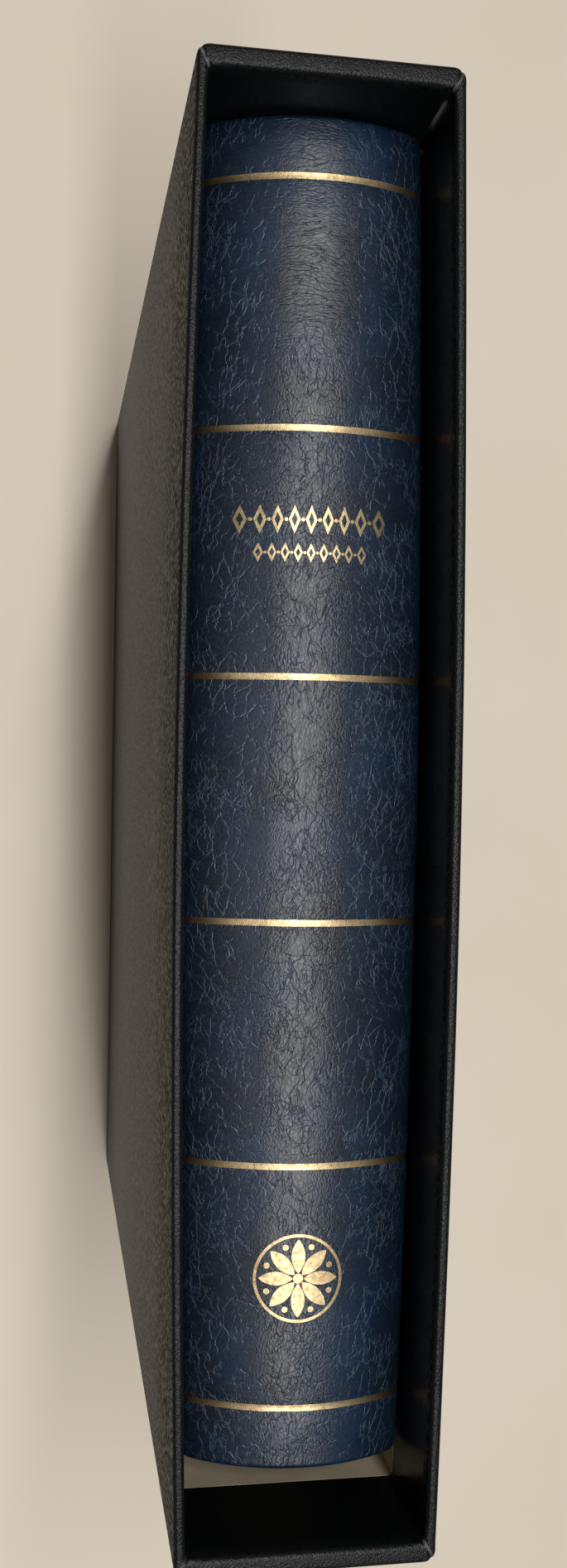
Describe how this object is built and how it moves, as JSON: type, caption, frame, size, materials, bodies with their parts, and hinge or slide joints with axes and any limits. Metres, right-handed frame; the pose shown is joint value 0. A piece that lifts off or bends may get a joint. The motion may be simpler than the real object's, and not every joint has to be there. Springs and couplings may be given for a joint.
{
  "type": "slipcased stamp album",
  "caption": "Padded leatherette stamp album with a gilt-banded rounded spine and a turn-bar ring mechanism, standing spine up in a leatherette slipcase.",
  "frame": {"origin": "centre of the slipcase's outer back face, on which the part stands", "axes": "+Z out of the slipcase's mouth, +Y towards the head of the album, +X towards its front cover"},
  "size_m": [0.065, 0.335, 0.314],
  "materials": {
    "case_leatherette": "fine pebble-grain black leatherette, satin",
    "cover_leatherette": "coarse crackled-grain navy leatherette, satin",
    "grey_board": "bare grey board",
    "padding_foam": "open-cell foam",
    "lining_paper": "matt lining paper",
    "endpaper": "matt endpaper",
    "gold_foil": "hot-stamped gold foil",
    "nickelled_steel": "nickel plated",
    "spring_steel": "spring steel",
    "tab_plastic": "moulded black plastic",
    "guard_card": "black card",
    "leaf_paper": "cream album card"
  },
  "bodies": {
    "slipcase": {"case_left_board": "grey_board", "case_right_board": "grey_board", "case_head_board": "grey_board", "case_foot_board": "grey_board", "case_back_board": "grey_board", "case_left_covering": "case_leatherette", "case_right_covering": "case_leatherette", "case_edge_covering": "case_leatherette", "case_side_linings": "lining_paper", "case_edge_lining": "lining_paper"},
    "album": {"cover_leatherette": "cover_leatherette", "front_board": "grey_board", "back_board": "grey_board", "front_padding": "padding_foam", "back_padding": "padding_foam", "spine_padding": "padding_foam", "spine_former": "grey_board", "spine_lining": "endpaper", "front_endpaper": "endpaper", "back_endpaper": "endpaper", "gold_bands": "gold_foil", "gold_lozenges": "gold_foil", "gold_rosette": "gold_foil", "ring_rail": "nickelled_steel", "rail_rivets": "nickelled_steel", "bar_bearings": "nickelled_steel", "detent_springs": "spring_steel", "front_guard_leaf": "guard_card", "back_guard_leaf": "guard_card", "title_leaf": "leaf_paper", "front_leaves": "leaf_paper", "back_leaves": "leaf_paper"},
    "left_ring_bar": {"left_turn_bar": "nickelled_steel", "left_half_rings": "nickelled_steel", "left_finger_tabs": "tab_plastic"},
    "right_ring_bar": {"right_turn_bar": "nickelled_steel", "right_half_rings": "nickelled_steel", "right_finger_tabs": "tab_plastic"}
  },
  "joints": [
    {"name": "album_slide", "type": "slide", "parent": "slipcase", "child": "album", "axis": [0, 0, 1], "range_m": [0, 0.32]},
    {"name": "left_ring_turn", "type": "hinge", "parent": "album", "child": "left_ring_bar", "pos_m": [-0.005, 0.0048, 0.2853], "axis": [0, 1, 0], "range_deg": [0, 12]},
    {"name": "right_ring_turn", "type": "hinge", "parent": "album", "child": "right_ring_bar", "pos_m": [0.005, 0.0048, 0.2853], "axis": [0, -1, 0], "range_deg": [0, 12]}
  ],
  "couplings": [
    {"joint": "right_ring_turn", "follows": "left_ring_turn", "ratio": 1}
  ]
}
